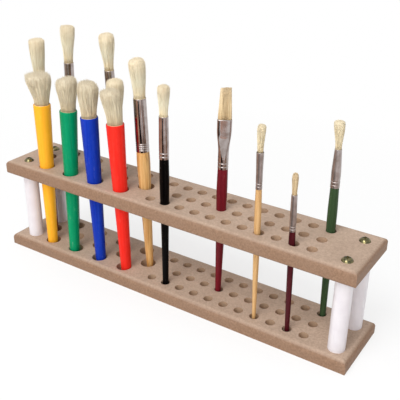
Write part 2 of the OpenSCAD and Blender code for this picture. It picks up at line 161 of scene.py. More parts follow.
LONG = {
    "wood": Brush(stood(broad(1, 4), 2.1, -1.6, 2), "timber", "timber",
                  [(0, 7.4), (22, 9.2), (52, 10.8), (92, 12.8), (126, 14.6), (146, 15.6), (161, 14.9)],
                  Ferrule(161, 224, 15.3, 14.6, (164.3, 166.7, 169.3, 171.7)),
                  Tuft(13.2, 260.5, 18.4, 268.2, 4, lean=-1.2, tilt=0.1)),
    "black": Brush(stood(fine(0, 1), 0.25, 0, 2), "black", "black_lacquer",
                   [(0, 6.6), (16, 7.2), (41, 7.7), (81, 8.7), (116, 10.1), (143, 11), (158, 10.8),
                    (169.8, 10.4)],
                   Ferrule(169.8, 218.1, 11, 10.4, (173.3, 177.3)),
                   Tuft(9, 247, 13, 251.5, 3, lean=0.3)),
    "flat": Brush(stood(fine(1, 4), -0.98, -0.1, 2), "maroon", "maroon_lacquer",
                  [(0, 6.4), (20, 7), (53, 8.3), (90, 10), (116, 11.1), (136, 11.9), (150, 11.7),
                   (165.1, 11.1)],
                  Ferrule(165.1, 220, 11.6, 11.6, (168.6, 172.6)), None),
    "pale": Brush(stood(fine(0, 7), -0.2, -1.87, 1), "pale_timber", "timber",
                  [(0, 3.8), (20, 4.4), (50, 5.4), (80, 6.3), (130, 7.1), (152, 6.9), (166, 6.4)],
                  Ferrule(166, 205.5, 6.8, 7.7, (169.5, 172.5)),
                  Tuft(6, 230, 8.7, 234, 3, lean=0.9, tilt=-0.1, oval=0.2)),
    "short": Brush(stood(fine(0, 9), 0.3, -2.2, 1.3), "wine", "maroon_lacquer",
                   [(0, 4.5), (22, 5.3), (60, 6.1), (100, 6.6), (117, 7), (130.4, 6.3)],
                   Ferrule(130.4, 170.6, 6.7, 6, (133.5, 136.5)),
                   Tuft(4.9, 187, 6.1, 193.2, 1.8)),
    "olive": Brush(stood(fine(2, 10), 1, -0.55, 1.8), "green_lacquer", "green_lacquer",
                   [(0, 6), (22, 7.1), (50, 7.6), (90, 9), (122, 10), (140, 10.2), (156, 9.5), (166.3, 9)],
                   Ferrule(166.3, 207.6, 9.7, 7.2, (170, 173.5)),
                   Tuft(6.2, 234, 11.2, 236.6, 5, lean=-1.3, oval=0.2)),
    "hind_a": Brush(stood(broad(1, 0), 0.3, -1.1, 2), "maroon", "maroon_lacquer",
                    [(0, 7), (52, 10), (92, 11.6), (126, 13.2), (146, 13.8), (162, 13.2)],
                    Ferrule(162, 216, 13.7, 14.2, (165, 167.4, 170, 172.4)),
                    Tuft(12.8, 263.2, 18.9, 267.4, 8, lean=0.6)),
    "hind_b": Brush(stood(broad(2, 0), -1, 1, 2), "black", "black_lacquer",
                    [(0, 6.6), (52, 8.8), (92, 10.4), (126, 12), (146, 12.6), (166, 12)],
                    Ferrule(166, 237.2, 12.5, 12, (169, 171.4, 174, 176.4)),
                    Tuft(10.8, 278, 17.4, 281.8, 8, lean=0.5, oval=0.4)),
    "hind_c": Brush(stood(broad(2, 2), 2, -2.5, 2), "black", "black_lacquer",
                    [(0, 6.6), (52, 8.8), (92, 10.4), (126, 12), (146, 12.6), (166, 12)],
                    Ferrule(166, 240.4, 12.5, 11.8, (169, 171.4, 174, 176.4)),
                    Tuft(10.6, 276.5, 18.1, 283, 4)),
    "hind_d": Brush(stood(broad(1, 3), 0.3, -1.1, 2), "timber", "timber",
                    [(0, 7), (52, 10), (92, 11.8), (116, 13.4), (126, 13.6), (138, 13)],
                    Ferrule(138, 189.5, 13.8, 14.6, (141, 143.4, 146, 148.4)),
                    Tuft(13.3, 230, 20.3, 238.4, 5, lean=1.0)),
}
BIG_TUFT = 12  # a tuft wider than this at its belly is coarse
COARSE, SOFT = Bristles(1500, 0.36, 0.35, 0.4), Bristles(900, 0.24, 0.18, 0.25)
DIMPLED, DIMPLES = "wood", 26  # the ferrule with dimples, and how many there are round it
DULL_FERRULES = ("pale", "short", "olive")

# ---------------------------------------------------------------- surfaces

def smooth(points, step):
    """Catmull-Rom curve through (height, width) points, about step apart: each span blends its four nearest
    points with cubic weights."""
    p = np.array(points, float)
    p = np.vstack([2 * p[0] - p[1], p, 2 * p[-1] - p[-2]])
    out = []
    for a, b, c, d in zip(p[:-3], p[1:-2], p[2:-1], p[3:]):
        n = max(2, int(math.ceil(abs(c[0] - b[0]) / step)))
        t = np.linspace(0, 1, n, endpoint=False)[:, None]
        square, cube = 2 * a - 5 * b + 4 * c - d, 3 * b - a - 3 * c + d
        out.append(0.5 * (2 * b + (c - a) * t + square * t**2 + cube * t**3))
    return np.vstack(out + [p[-2:-1]])


def around(sides):
    """Angles of a ring's points, as one row."""
    return np.linspace(0, 2 * np.pi, sides, endpoint=False)[None, :]


def grid_faces(rows, cols):
    """Quads between neighbouring rings of a grid whose columns close on themselves."""
    i, j = np.meshgrid(np.arange(rows - 1), np.arange(cols), indexing="ij")
    k = (j + 1) % cols
    corners = [i * cols + j, i * cols + k, (i + 1) * cols + k, (i + 1) * cols + j]
    return np.stack(corners, -1).reshape(-1, 4)


def closed_grid(grid):
    """A closed skin: quads between the rings, and a fan from each end ring to a pole at its middle."""
    rows, cols = grid.shape[:2]
    poles = np.stack([grid[0].mean(0), grid[-1].mean(0)])
    j = np.arange(cols)
    k = (j + 1) % cols
    low, high = rows * cols, rows * cols + 1
    last = (rows - 1) * cols
    foot = np.stack([k, j, np.full(cols, low)], -1)
    top = np.stack([last + j, last + k, np.full(cols, high)], -1)
    points = np.vstack([grid.reshape(-1, 3), poles])
    return points, grid_faces(rows, cols).tolist() + foot.tolist() + top.tolist()


def closed_tube(grid):
    """The skin of a tube whose rings run up outside and down inside: quads between the rings, and between
    the last ring and the first."""
    rows, cols = grid.shape[:2]
    j = np.arange(cols)
    k = (j + 1) % cols
    last = (rows - 1) * cols
    seam = np.stack([last + j, last + k, k, j], -1)
    return grid.reshape(-1, 3), grid_faces(rows, cols).tolist() + seam.tolist()


def turned_rings(outline, sides, dent=None):
    """Rings of a turned shape: at each height a circle of half the width there, less dent(height, angle)
    where given."""
    z, r = outline[:, 0:1], outline[:, 1:2] / 2
    a = around(sides)
    r = r - (dent(z, a) if dent else 0)
    return np.stack([r * np.cos(a), r * np.sin(a), z + 0 * a], -1)


def rounded_foot(width, radius):
    """Outline of a rounded foot: a quarter circle of this radius, from the floor up to the full width."""
    a = np.radians(np.linspace(0, 90, 10))
    return np.c_[radius * (1 - np.cos(a)), width - 2 * radius * (1 - np.sin(a))]


def rolled_edge(top, width, rise, reach, steps):
    """Outline of a rounded edge that turns in at the top: half an ellipse, rise high, that takes reach off
    each side."""
    a = np.radians(np.linspace(0, 180, steps))[1:]
    return np.c_[top - rise + rise * np.sin(a), width - reach + reach * np.cos(a)]


def put(brush, kind, part, points, faces, finish, sharp=0, marks=None):
    """Makes the piece brush_kind in the place of the node brush_part. Its points are in mm in the brush's
    own upright frame, and are moved to the brush's place and put into metres."""
    name, body, node = f"{brush}_{kind}", f"{brush}_brush", f"{brush}_{part}"
    place = (STUBS.get(brush) or LONG[brush]).place
    world = (np.c_[points, np.ones(len(points))] @ place.T)[:, :3] * MM
    mesh = bpy.data.meshes.new(name)
    mesh.from_pydata(world.tolist(), [], faces)
    for label, values in (marks or {}).items():
        mark = mesh.attributes.new(label, "FLOAT", "POINT")
        mark.data.foreach_set("value", np.asarray(values, np.float32))
    mesh.shade_smooth()
    if sharp:
        mesh.set_sharp_from_angle(angle=math.radians(sharp))
    mesh.materials.append(finish)
    mesh.update()
    piece = link(name, mesh)
    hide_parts(node)
    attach(piece, body)


# ---------------------------------------------------------------- handles

def stub_handle(name):
    """A tapered moulded handle: rounded foot, straight taper, a rim rounded in and out, and a socket down
    to the tuft's root."""
    rim_z = STUB_L - RIM_R
    foot = rounded_foot(STUB_FOOT, STUB_FOOT_R)
    taper = np.c_[np.linspace(STUB_FOOT_R, rim_z, 60), np.linspace(STUB_FOOT, STUB_TOP, 60)][1:]
    rim = rolled_edge(STUB_L, STUB_TOP, RIM_R, RIM_IN, 13)
    socket = [(STUB_L - STUB_SOCKET, STUB_SOCKET_D)]
    points, faces = closed_grid(turned_rings(np.vstack([foot, taper, rim, socket]), 72))
    put(name, "body", "handle", points, faces, FINISH[name], 50)


def long_handle(name):
    """A turned and lacquered handle: rounded foot, smooth swell, and a tenon that ends inside the ferrule."""
    _, grip, slot, outline, ferrule, _ = LONG[name]
    foot_d = outline[0][1]
    foot = rounded_foot(foot_d, foot_d * FOOT_ROUND)
    swell = smooth([(foot[-1, 0], foot_d)] + outline[1:], 2.0)[1:]
    tenon_d = ferrule.foot_d - 2 * WALL - TENON_ROOM
    tenon = [(ferrule.foot, tenon_d), (ferrule.foot + TENON, tenon_d)]
    points, faces = closed_grid(turned_rings(np.vstack([foot, swell, tenon]), 56))
    put(name, "grip", "handle", points, faces, FINISH[grip], 40)


# ---------------------------------------------------------------- ferrules

RING_DEEP, RING_HALF = 0.36, 0.85  # depth and half width of a pressed ring
LIP_R, LIP_IN = 0.4, 0.42  # the rolled mouth of a round ferrule, as RIM_R and RIM_IN
DIMPLE_DEEP, DIMPLE_STEP = 0.45, 2.45  # depth of the dimples, and from one row of them to the next


def press(z, rings):
    """Depth of the pressed rings at each height: half a cosine wave down and half a wave up at every ring."""
    out = 0 * z
    for ring in rings:
        t = np.clip(np.abs(z - ring) / RING_HALF, 0, 1)
        out = np.maximum(out, RING_DEEP * (0.5 + 0.5 * np.cos(np.pi * t)))
    return out


def dimple(z, angle, rings):
    """Depth of the dimples: a squared wave round the tube times a wave along it, fading off the rings."""
    wave = 0.5 + 0.5 * np.cos(DIMPLES * angle)
    fade = np.clip(1 - np.abs(z - np.mean(rings)) / (rings[-1] - rings[0]) * 1.7, 0, 1) ** 0.5
    return DIMPLE_DEEP * fade * wave**2 * (0.5 + 0.5 * np.cos((z - rings[0]) * 2 * np.pi / DIMPLE_STEP))


def round_ferrule(name):
    """A drawn tube: pressed rings near its foot, with dimples round them on one brush, a rolled mouth and a
    real inner wall."""
    foot, mouth, foot_d, mouth_d, rings = LONG[name].ferrule
    shoulder = foot + TENON
    heights = np.unique(np.r_[np.arange(foot, shoulder, 0.25), np.linspace(shoulder, mouth - 2 * LIP_R, 30)])
    outer = np.c_[heights, np.interp(heights, [foot, shoulder, mouth], [foot_d, foot_d, mouth_d])]
    lip = rolled_edge(mouth, mouth_d, LIP_R, LIP_IN, 9)
    inner_d = foot_d - 2 * WALL - RING_ROOM
    outline = np.vstack([outer, lip, [(shoulder, inner_d), (foot, inner_d)]])

    def dent(z, angle):
        outside = np.ones_like(z)
        outside[len(outer):] = 0
        cut = press(z, rings) * outside
        return cut + dimple(z, angle, rings) * outside if name == DIMPLED else cut

    points, faces = closed_tube(turned_rings(outline, 96 if name == DIMPLED else 64, dent))
    finish = FINISH["dull_ferrule" if name in DULL_FERRULES else "ferrule"]
    put(name, "tube", "ferrule", points, faces, finish, 50)


FLAT_W, FLAT_T = 15.6, 5.6  # the flat ferrule's mouth
PRESS_Z, PRESS_LONG = 184.0, 26  # where the flattening starts, and how far up it goes
SHOULDER = 8.0  # how much lower it starts in the middle of each face


def flat_section(z, shrink=0.0):
    """Width and thickness of the flat ferrule at height z: round up to the press line, then eased to the
    flat mouth by the smoothstep s = t t (3 - 2 t)."""
    d = LONG["flat"].ferrule.foot_d
    t = np.clip((z - PRESS_Z) / PRESS_LONG, 0, 1)
    s = t * t * (3 - 2 * t)
    return d + (FLAT_W - d) * s - shrink, d + (FLAT_T - d) * s - shrink


def flat_ring(angle, width, thick):
    """Points of a section between a circle and a round-ended slot: a superellipse whose power rises as it
    flattens."""
    power = 2 + 2.2 * (width - thick) / FLAT_W
    c, s = np.cos(angle), np.sin(angle)
    x = width / 2 * np.sign(c) * np.abs(c) ** (2 / power)
    return x, thick / 2 * np.sign(s) * np.abs(s) ** (2 / power)


def pressed_ring(z, angle, shrink=0.0):
    """One ring, or a grid of rings, of the pressed tube: the flattening starts lower in the middle of each
    face, so that a curved shoulder runs up to the corners of the mouth."""
    width, _ = flat_section(z + 0 * angle, shrink)
    _, thick = flat_section(z + SHOULDER * np.abs(np.sin(angle)) ** 1.6, shrink)
    return flat_ring(angle, width, thick)


def flat_ferrule():
    """A tube pressed flat: round at the foot with two rings, then pressed to a slot, with a rolled mouth
    and an inner wall."""
    foot, mouth, foot_d, _, rings = LONG["flat"].ferrule
    heights = np.unique(np.r_[np.arange(foot, foot + 10, 0.3), np.linspace(foot + 10, mouth - 0.3, 70)])
    angle = around(80)
    z = heights[:, None]
    x, y = pressed_ring(z, angle)
    cut = 1 - 2 * press(z, rings) / foot_d
    outer = np.stack([x * cut, y * cut, z + 0 * angle], -1)
    inside = np.r_[mouth, mouth - 0.1, np.linspace(mouth - 4, foot, 20)][:, None]
    x, y = pressed_ring(inside, angle, np.where(inside == mouth, 0.5, 1.4))
    grid = np.concatenate([outer, np.stack([x, y, inside + 0 * angle], -1)])
    points, faces = closed_tube(grid)
    put("flat", "tube", "ferrule", points, faces, FINISH["ferrule"], 45)


# ---------------------------------------------------------------- tufts

GOLDEN_ANGLE = 2.399963  # radians; turned by it, the points of a spiral spread evenly over a disc
THIRD = 2.0944  # a third of a turn
SPIKE_TAPER = 0.72  # share of its thickness that a bristle loses
HAIR_START = 1.5  # how far below the mouth the bristles start
TUFT_SIDES = 72
CORE, REACH = 0.9, 0.985  # the core and the outermost bristle, as shares of the envelope's half width
DOME = 2.6  # power of the superellipse that closes a tuft, blunter than an ellipse


def strands(bristles, root, lift, path, seed, steps=7):
    """Bristles: each is a thin three-sided spike. Its centre starts at a point of the mouth, spread evenly
    over the disc, and follows path(height, share, angle) with a small wander that grows with the square of
    the way up. lift(share, angle) is the height where it ends."""
    rng = np.random.default_rng(seed)
    count, thick, stray, rag = bristles
    share = np.sqrt((np.arange(count) + 0.5) / count)
    turn = np.arange(count) * GOLDEN_ANGLE + rng.normal(0, 0.05, count)
    ends = lift(share, turn) + rng.normal(0, rag, count)
    t = np.linspace(0, 1, steps)[None, :]
    z = root + (ends[:, None] - root) * t
    x, y = path(z, share[:, None], turn[:, None])
    bend = rng.normal(0, stray, (2, count))[:, :, None] * t[None] ** 2
    sway = rng.normal(0, stray * 0.45, (2, count))[:, :, None]
    curl = sway * np.sin(t[None] * np.pi * 1.5 + rng.uniform(0, 6, (1, count, 1)))
    x, y = x + bend[0] + curl[0] * t, y + bend[1] + curl[1] * t
    size = thick * rng.uniform(0.75, 1.25, count)[:, None] / 2 * (1 - SPIKE_TAPER * t**3)
    x, y, z, size = (v[..., None] for v in (x, y, z, size))
    corner = rng.uniform(0, 6.28, count)[:, None, None] + np.arange(3)[None, None, :] * THIRD
    points = np.stack([x + size * np.cos(corner), y + size * np.sin(corner), np.repeat(z, 3, -1)], -1)
    base = (np.arange(count) * steps * 3)[:, None, None]
    sides = (base + grid_faces(steps, 3)[None]).reshape(-1, 4)
    top = (steps - 1) * 3
    caps = (base + np.array([[[top, top + 1, top + 2], [2, 1, 0]]])).reshape(-1, 3)
    tone = np.repeat(rng.uniform(0, 1, count), steps * 3)
    along = np.broadcast_to(t[..., None], (count, steps, 3)).reshape(-1)
    return points.reshape(-1, 3), sides.tolist() + caps.tolist(), tone, along


def put_tuft(name, grid, low, high, spikes, seed, finish):
    """Makes one tuft of its core's rings and its bristles. Two values go with every point: tone, a random
    one for each bristle and for each line up the core, and along, the share of the way from low to high."""
    points, faces = closed_grid(grid)
    lines = 0.25 + 0.25 * np.random.default_rng(seed).random(TUFT_SIDES)
    tone = np.r_[np.tile(lines, len(points) // TUFT_SIDES), 0.4, 0.4]
    along = np.clip((points[:, 2] - low) / (high - low), 0, 1)
    more, spike_faces, tones, alongs = spikes
    faces = faces + [[v + len(points) for v in face] for face in spike_faces]
    marks = {"tone": np.r_[tone, tones], "along": np.r_[along, alongs]}
    put(name, "hair", "tuft", np.vstack([points, more]), faces, finish, marks=marks)


def envelope(mouth_z, tuft):
    """The form of a round tuft as three functions: swell(z) is its half width, which eases from the mouth
    to the belly and then stays; close(z) is the share of it that is left above the belly, a quarter of a
    superellipse down to the crown; and end(share) is the height at which a bristle at that share of the
    half width comes out of the dome."""
    crown = tuft.crown_d / tuft.belly_d
    rise = tuft.tip_z - tuft.belly_z

    def swell(z):
        t = np.clip((z - mouth_z) / (tuft.belly_z - mouth_z), 0, 1)
        return (tuft.mouth_d + (tuft.belly_d - tuft.mouth_d) * (0.5 - 0.5 * np.cos(np.pi * t))) / 2

    def close(z):
        u = np.clip((z - tuft.belly_z) / rise, 0, 1)
        return crown + (1 - crown) * (1 - u**DOME) ** (1 / DOME)

    def end(share):
        s = np.clip((share - crown) / (1 - crown), 0, 1)
        return tuft.belly_z + rise * (1 - s**DOME) ** (1 / DOME)

    return swell, close, end


def locks(z, angle):
    """Grooves between locks of hair: two waves round the core, 19 and 31 a turn, that wander with height."""
    return (1 + 0.035 * np.sin(angle * 19 + 3 * np.sin(z * 0.11))
            + 0.03 * np.sin(angle * 31 + 1.7 + 2 * np.sin(z * 0.07)))


def round_tuft(name, tuft, mouth_z, root_z, root_d, bristles, seed, finish, lobes=()):
    """A round tuft: a core that fills the envelope, and bristles that run up through it and end at the
    dome. With u the share of the way up, lean u**2 carries it along x, tilt x u**3 slopes its top, and a
    factor of (1 - oval u) squeezes it across. A lobe swells it by its amount times exp(-(gap / spread)**2),
    where gap is the angle from its middle, and grows with height."""
    swell, close, end = envelope(mouth_z, tuft)
    belly_z, tip_z = tuft.belly_z, tuft.tip_z

    def grow(z, angle):
        out = 1.0
        up = np.clip((z - mouth_z) / (belly_z - mouth_z), 0, 1) ** 1.4
        for at, amount, spread in lobes:
            gap = (angle - math.radians(at) + np.pi) % (2 * np.pi) - np.pi
            out = out + amount * up * np.exp(-(gap / math.radians(spread)) ** 2)
        return out

    def path(z, share, angle):
        up = np.clip((z - mouth_z) / (tip_z - mouth_z), 0, 1.2) ** 2
        r = share * swell(z) * grow(z, angle) * REACH
        return r * np.cos(angle) + tuft.lean * up, r * np.sin(angle) * (1 - tuft.oval * np.sqrt(up))

    def lift(share, angle):
        slope = tuft.tilt * tuft.belly_d / 2 * np.cos(angle)
        return end(share) + (slope + bristles.rag * 0.7 * np.sin(3 * angle + 5 * share)) * share

    dome = belly_z + (tip_z - belly_z) * np.sin(np.radians(np.linspace(6, 90, 16)))
    z = np.r_[np.linspace(mouth_z, belly_z, 26), dome][:, None]
    angle = around(TUFT_SIDES)
    x, y = path(z, CORE * close(z) + 0 * angle, angle)
    groove = locks(z, angle)
    x, y = x * groove, y * groove
    up = (z - mouth_z) / (tip_z - mouth_z)
    skin = np.stack([x, y, z - (0.3 + 0.8 * bristles.rag) * up**4 + tuft.tilt * x * up**3], -1)
    root = turned_rings(np.array([(root_z, root_d), (mouth_z - 0.02, root_d)]), TUFT_SIDES)
    spikes = strands(bristles, mouth_z - HAIR_START, lift, path, seed)
    put_tuft(name, np.concatenate([root, skin]), mouth_z, tip_z, spikes, seed + 1, finish)


FLAT_TIP = 254.7
FLAT_HAIR = (FLAT_W - 0.8, FLAT_T - 1.2)  # width and thickness of the flat tuft at the mouth
FLAT_EDGE = (11.0, 2.0)  # and at its tip
FLAT_BRISTLES = Bristles(1700, 0.3, 0.16, 0.35)
FLAT_SEED = 78


def flat_tuft():
    """A flat tuft: its section eases from the slot of the ferrule to a thin straight edge that is cut a
    little slanting."""
    ferrule = LONG["flat"].ferrule
    mouth = ferrule.mouth

    def way_up(z):
        return np.clip((z - mouth) / (FLAT_TIP - mouth), 0, 1)

    def section(z):
        return [(start - (start - end) * way_up(z)) / 2 for start, end in zip(FLAT_HAIR, FLAT_EDGE)]

    def path(z, share, angle):
        half_w, half_t = section(z)
        return np.cos(angle) * share * half_w + 0.3 * way_up(z), np.sin(angle) * share * half_t

    def lift(share, angle):
        return FLAT_TIP - 1.3 + 0.5 * np.cos(angle) * share

    angle = around(TUFT_SIDES)
    z = np.linspace(mouth, FLAT_TIP - 1.5, 24)[:, None]
    half_w, half_t = section(z)
    skin = np.stack([*flat_ring(angle, 2 * half_w * 0.94, 2 * half_t * 0.85), z + 0 * angle], -1)
    z = np.linspace(ferrule.foot + TENON, mouth - 0.02, 16)[:, None]
    root = np.stack([*pressed_ring(z, angle, 1.9), z + 0 * angle], -1)
    spikes = strands(FLAT_BRISTLES, mouth - HAIR_START, lift, path, FLAT_SEED, 6)
    put_tuft("flat", np.concatenate([root, skin]), mouth, FLAT_TIP, spikes, FLAT_SEED - 1,
             FINISH["golden"])


# ---------------------------------------------------------------- finishes

def rgb(*shades):
    """A colour given as it looks on screen, 0 to 255, as a linear one."""
    parts = (v / 255 for v in shades)
    return tuple(v / 12.92 if v <= 0.04045 else ((v + 0.055) / 1.055) ** 2.4 for v in parts) + (1.0,)


class Net:
    """Short ways to add and join nodes in one node tree."""

    def __init__(self, tree):
        self.tree = tree

    def node(self, kind, inputs=None, **settings):
        made = self.tree.nodes.new(kind)
        for key, value in settings.items():
            setattr(made, key, value)
        for key, value in (inputs or {}).items():
            self.feed(value, made.inputs[key])
        return made

    def feed(self, value, socket):
        """Joins another node's output to a socket, or sets the socket to a plain value."""
        if isinstance(value, bpy.types.NodeSocket):
            self.tree.links.new(value, socket)
        else:
            socket.default_value = value

    def noise(self, vector, scale, detail=3.0, rough=0.55, distort=0.0):
        inputs = {"Vector": vector, "Scale": scale, "Detail": detail, "Roughness": rough,
                  "Distortion": distort}
        return self.node("ShaderNodeTexNoise", inputs).outputs["Fac"]

    def ramp(self, value, low, high, to_low=0.0, to_high=1.0):
        inputs = {"Value": value, "From Min": low, "From Max": high, "To Min": to_low, "To Max": to_high}
        return self.node("ShaderNodeMapRange", inputs).outputs["Result"]

    def math(self, kind, a, b=0.0):
        return self.node("ShaderNodeMath", {0: a, 1: b}, operation=kind).outputs[0]

    def times(self, a, b):
        return self.math("MULTIPLY", a, b)

    def add(self, a, b):
        return self.math("ADD", a, b)

    def stretch(self, vector, scale):
        return self.node("ShaderNodeMapping", {"Vector": vector, "Scale": scale}).outputs["Vector"]

    def split(self, vector):
        return self.node("ShaderNodeSeparateXYZ", {0: vector}).outputs

    def mix(self, factor, a, b):
        made = self.node("ShaderNodeMix", data_type="RGBA")
        for number, value in ((0, factor), (6, a), (7, b)):
            self.feed(value, made.inputs[number])
        return made.outputs[2]

    def show(self, shader):
        """Makes shader the material's surface."""
        self.feed(shader, self.tree.nodes["Material Output"].inputs["Surface"])


class Surface(Net):
    """A material with one Principled shader, whose plain values are set on its own sockets."""

    def __init__(self, name, **sockets):
        self.material = bpy.data.materials.new(name)
        self.material.use_nodes = True
        super().__init__(self.material.node_tree)
        self.shader = self.tree.nodes["Principled BSDF"]
        for key, value in sockets.items():
            self.shader.inputs[key.replace("_", " ")].default_value = value
        self.place = self.node("ShaderNodeTexCoord").outputs["Object"]

    def effect(self, tree, **values):
        """Places a node group over the piece's own coordinates."""
        return self.node("ShaderNodeGroup", {"Vector": self.place, **values}, node_tree=tree).outputs

    def finish(self, tone, rough, height, strength, distance):
        """Joins the colour, the roughness and the bump that height gives, and hands over the material."""
        bump = self.node("ShaderNodeBump", {"Height": height, "Strength": strength, "Distance": distance})
        self.feed(tone, self.shader.inputs["Base Color"])
        self.feed(rough, self.shader.inputs["Roughness"])
        self.feed(bump.outputs["Normal"], self.shader.inputs["Normal"])
        return self.material


FLOAT, VECTOR = "NodeSocketFloat", "NodeSocketVector"


def group(name, inputs, outputs, build):
    """A shader node group with named sockets that puts out plain values; build(net, inputs) returns its
    output sockets by name."""
    tree = bpy.data.node_groups.new(name, "ShaderNodeTree")
    for label, kind, value in inputs:
        made = tree.interface.new_socket(name=label, in_out="INPUT", socket_type=kind)
        if value is not None:
            made.default_value = value
    for label in outputs:
        tree.interface.new_socket(name=label, in_out="OUTPUT", socket_type=FLOAT)
    source = tree.nodes.new("NodeGroupInput")
    made = build(Net(tree), source.outputs)
    sink = tree.nodes.new("NodeGroupOutput")
    for label, socket in made.items():
        tree.links.new(socket, sink.inputs[label])
    return tree


def build_scuff(net, put_in):
    """Fine scratches and dull patches: a stretched noise cut to thin lines, over a broad cloudy mask."""
    place, amount = put_in["Vector"], put_in["Amount"]
    lines = net.ramp(net.noise(net.stretch(place, (900, 900, 60)), 1.0, 2.0, 0.6, 0.4), 0.66, 0.72)
    cloud = net.ramp(net.noise(place, 45.0, 3.0), 0.42, 0.68)
    return {"Scratch": net.times(net.times(lines, cloud), amount), "Cloud": net.times(cloud, amount)}


def build_streak(net, put_in):
    """Lines along the height: a noise squeezed across and drawn out along it, fine, as wide as a lock of
    hair, and broad."""
    place = put_in["Vector"]
    return {"Fine": net.noise(net.stretch(place, (1400, 1400, 26)), 1.0, 3.0, 0.6),
            "Lock": net.noise(net.stretch(place, (640, 640, 13)), 1.0, 2.0, 0.5, 0.3),
            "Broad": net.noise(net.stretch(place, (260, 260, 9)), 1.0, 2.0, 0.5, 0.6)}


SCUFF = group("scuffs", [("Vector", VECTOR, None), ("Amount", FLOAT, 1.0)], ("Scratch", "Cloud"), build_scuff)
STREAK = group("streaks", [("Vector", VECTOR, None)], ("Fine", "Lock", "Broad"), build_streak)


INNER_X, INNER_Y = (0.222, 0.218), (0.038, 0.036)  # metres from the middle, within which a wall is a hole's; such walls get painted light


def fibreboard():
    """Sealed fibreboard: a mottle of packed fibres, pale and dark flecks, warmer and darker routed edges
    whose colour is partly the cut fibres' own and partly painted shade, hole walls painted paler as painted
    light, painted shade on the lower rounding, and a faint tooth."""
    net = Surface("fibreboard", Roughness=0.62, Specular_IOR_Level=0.35)
    felt = net.noise(net.place, 420.0, 4.0, 0.62)
    cloud = net.noise(net.place, 28.0, 3.0, 0.5)
    fleck = net.ramp(net.noise(net.stretch(net.place, (1.0, 0.6, 1.0)), 1300.0, 2.0, 0.7), 0.62, 0.74)
    dark = net.ramp(net.noise(net.place, 950.0, 2.0, 0.7), 0.30, 0.38, 1.0, 0.0)
    up = net.split(net.node("ShaderNodeNewGeometry").outputs["Normal"])["Z"]
    edge = net.ramp(net.math("ABSOLUTE", up), 0.93, 0.55)
    where = net.split(net.place)
    inner = net.times(net.ramp(net.math("ABSOLUTE", where["X"]), *INNER_X),
                      net.ramp(net.math("ABSOLUTE", where["Y"]), *INNER_Y))
    face = net.mix(net.ramp(felt, 0.35, 0.65), rgb(170, 146, 127), rgb(192, 167, 147))
    # Routed edges and hole walls are darker and warmer than the faces. This is partly the cut fibres' own
    # colour and partly painted shade.
    side = net.mix(net.ramp(felt, 0.35, 0.65), rgb(128, 97, 74), rgb(150, 118, 94))
    # Painted light: the hole walls are painted paler than the outer edges so that they look lit.
    side = net.mix(inner, side, rgb(188, 158, 131))
    # Painted shade: faces that turn downwards, the boards' lower rounding, are painted dark.
    side = net.mix(net.ramp(up, -0.05, -0.7, 0.0, 0.8), side, rgb(88, 62, 46))
    tone = net.mix(edge, face, side)
    tone = net.mix(net.ramp(cloud, 0.35, 0.7, 0.0, 0.22), tone, rgb(140, 116, 98))
    tone = net.mix(net.times(fleck, 0.35), tone, rgb(222, 202, 182))
    tone = net.mix(net.times(dark, 0.30), tone, rgb(104, 80, 62))
    rough = net.ramp(felt, 0.3, 0.7, 0.52, 0.74)
    return net.finish(tone, rough, felt, 0.35, 0.00025)


def white_lacquer():
    """White lacquer on a turned post: faint lathe rings, a few dull patches and fine scuffs."""
    net = Surface("white_lacquer", Roughness=0.32, Coat_Weight=0.1, Coat_Roughness=0.15)
    marks = net.effect(SCUFF, Amount=0.6)
    rings = net.noise(net.stretch(net.place, (40, 40, 900)), 1.0, 2.0)
    tone = net.mix(net.ramp(net.noise(net.place, 60.0), 0.35, 0.7), rgb(224, 219, 222), rgb(217, 211, 215))
    tone = net.mix(net.times(marks["Scratch"], 0.5), tone, rgb(196, 190, 188))
    rough = net.add(net.ramp(rings, 0.3, 0.7, 0.28, 0.33), net.times(marks["Cloud"], 0.12))
    return net.finish(tone, rough, rings, 0.02, 0.0001)


def plated_screw():
    """Yellow zinc on a domed screw: uneven plating, darker patches and fine marks."""
    net = Surface("plated_screw", Metallic=0.92, Roughness=0.3)
    patch = net.noise(net.place, 330.0, 3.0)
    fine_marks = net.noise(net.place, 2400.0, 2.0)
    tone = net.mix(net.ramp(patch, 0.36, 0.64), rgb(136, 125, 86), rgb(80, 80, 62))
    tone = net.mix(net.ramp(fine_marks, 0.56, 0.7, 0.0, 0.5), tone, rgb(66, 60, 40))
    rough = net.ramp(patch, 0.3, 0.7, 0.16, 0.32)
    return net.finish(tone, rough, fine_marks, 0.15, 0.00008)


def moulded(name, main, deep):
    """Glossy moulded plastic: a slow drift of tone, faint flow lines along the handle, dull rubbed patches
    and scuffs."""
    net = Surface(name + "_plastic", Roughness=0.34, Specular_IOR_Level=0.09)
    marks = net.effect(SCUFF, Amount=0.8)
    flow = net.effect(STREAK)
    tone = net.mix(net.ramp(flow["Broad"], 0.32, 0.7), main, deep)
    tone = net.mix(net.times(marks["Scratch"], 0.22), tone, rgb(236, 230, 220))
    rough = net.add(net.ramp(flow["Fine"], 0.3, 0.7, 0.18, 0.28), net.times(marks["Cloud"], 0.14))
    return net.finish(tone, rough, flow["Broad"], 0.1, 0.0002)


def lacquered(name, main, deep, gloss=0.12):
    """Gloss lacquer over turned wood: the pores show as faint lines, with handling scuffs."""
    net = Surface(name, Roughness=0.26, Specular_IOR_Level=gloss)
    grain = net.effect(STREAK)
    marks = net.effect(SCUFF, Amount=0.7)
    tone = net.mix(net.ramp(grain["Broad"], 0.3, 0.7), main, deep)
    tone = net.mix(net.times(marks["Scratch"], 0.3), tone, rgb(170, 150, 130))
    rough = net.add(net.ramp(grain["Fine"], 0.3, 0.7, 0.16, 0.26), net.times(marks["Cloud"], 0.1))
    return net.finish(tone, rough, grain["Fine"], 0.12, 0.00012)


